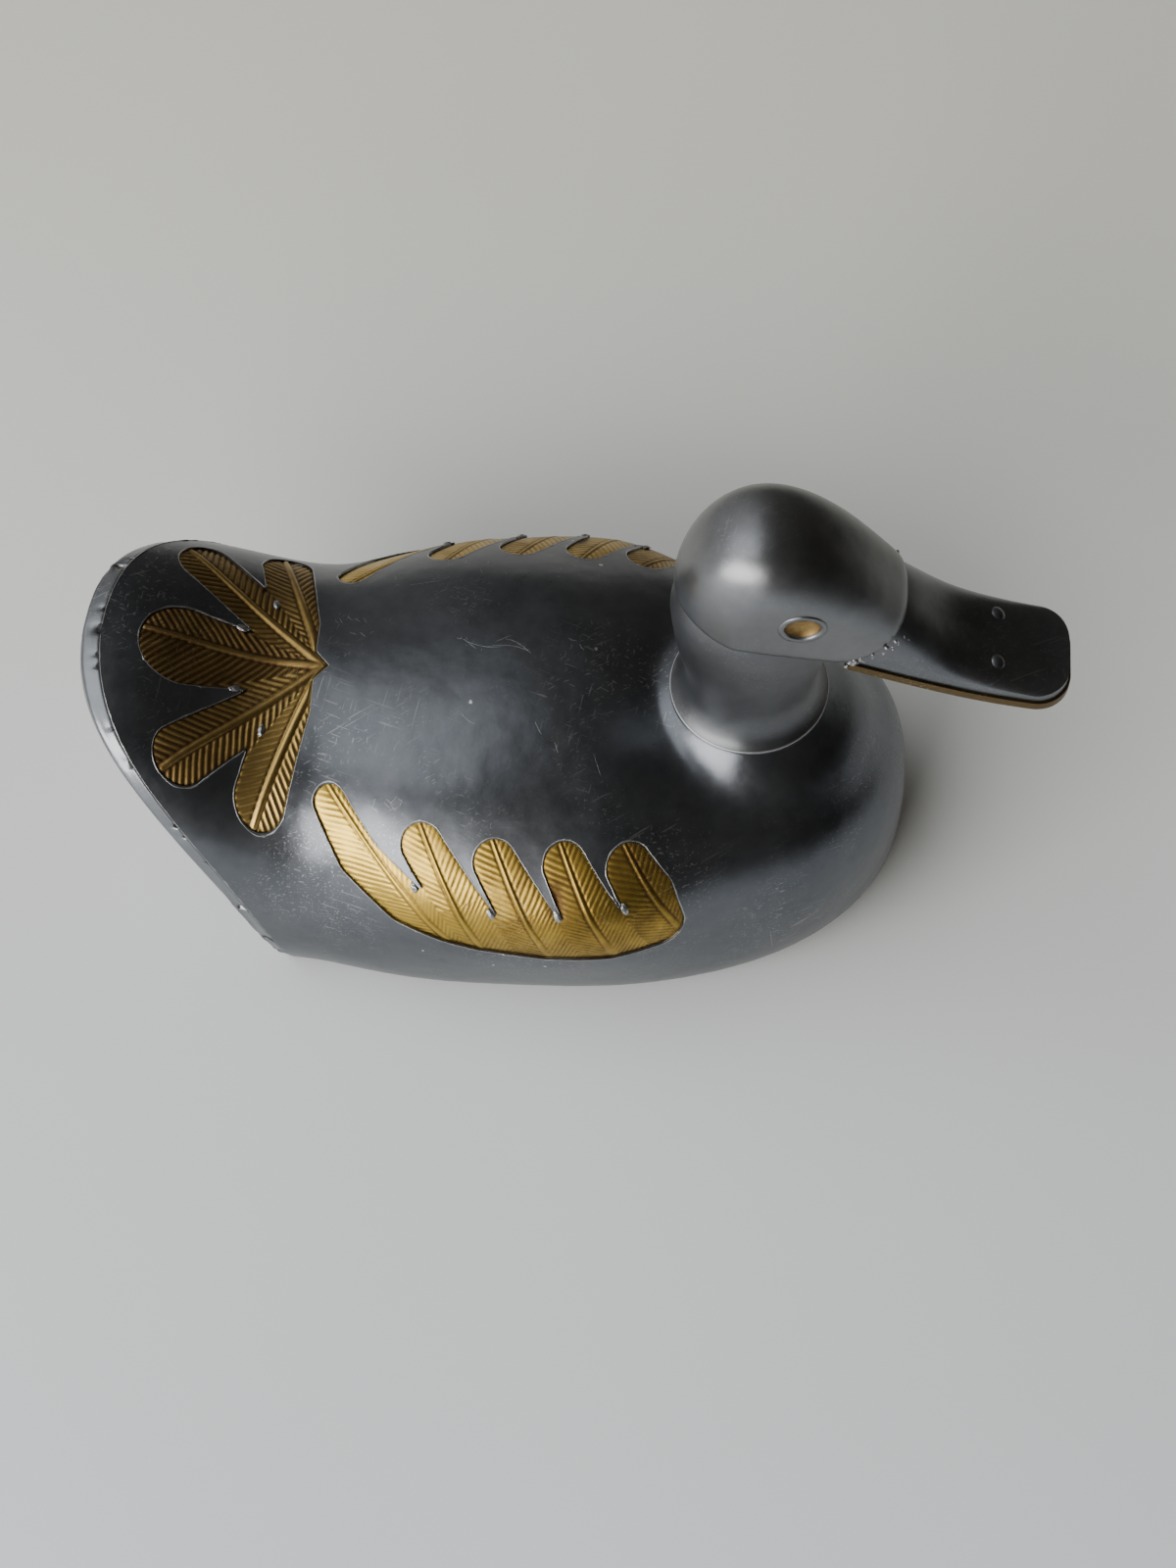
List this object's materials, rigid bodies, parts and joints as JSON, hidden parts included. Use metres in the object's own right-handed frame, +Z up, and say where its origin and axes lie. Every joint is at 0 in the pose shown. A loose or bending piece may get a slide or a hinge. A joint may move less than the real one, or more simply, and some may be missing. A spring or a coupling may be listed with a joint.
{
  "type": "duck figurine",
  "caption": "Resting duck clad in dark pewter sheet with embossed brass feather inlays on wings and tail, and a head that turns on a round seam at the neck.",
  "frame": {"origin": "on the table under the middle of the body, on the resting face", "axes": "+X towards the bill, +Y to the duck's left, +Z up"},
  "size_m": [0.25, 0.1242, 0.1452],
  "materials": {
    "pewter": "satin, dark, finely scratched",
    "bright_pewter": "worn bright",
    "brass": "embossed, aged",
    "wood": "sanded, hidden",
    "steel": "turned",
    "fibre": "plain"
  },
  "bodies": {
    "body": {"body_core": "wood", "back_shell": "pewter", "stern_plate": "pewter", "base_plate": "pewter", "base_screw_1": "steel", "base_screw_2": "steel", "base_screw_3": "steel", "base_screw_4": "steel", "wing_inlay_right": "brass", "wing_inlay_left": "brass", "tail_fan_inlay": "brass", "seat_ring": "bright_pewter", "neck_bush": "brass", "thrust_washer": "fibre"},
    "head": {"head_core": "wood", "head_shell": "pewter", "neck_sleeve": "pewter", "bill_upper": "pewter", "bill_lower": "brass", "eye_right": "brass", "eye_left": "brass", "pivot_bolt": "steel", "flat_washer": "steel", "spring_washer": "steel", "pivot_nut": "steel"}
  },
  "joints": [
    {"name": "head_swivel", "type": "hinge", "parent": "body", "child": "head", "pos_m": [0.062, 0, 0.069], "axis": [0, 0, 1], "continuous": true}
  ]
}
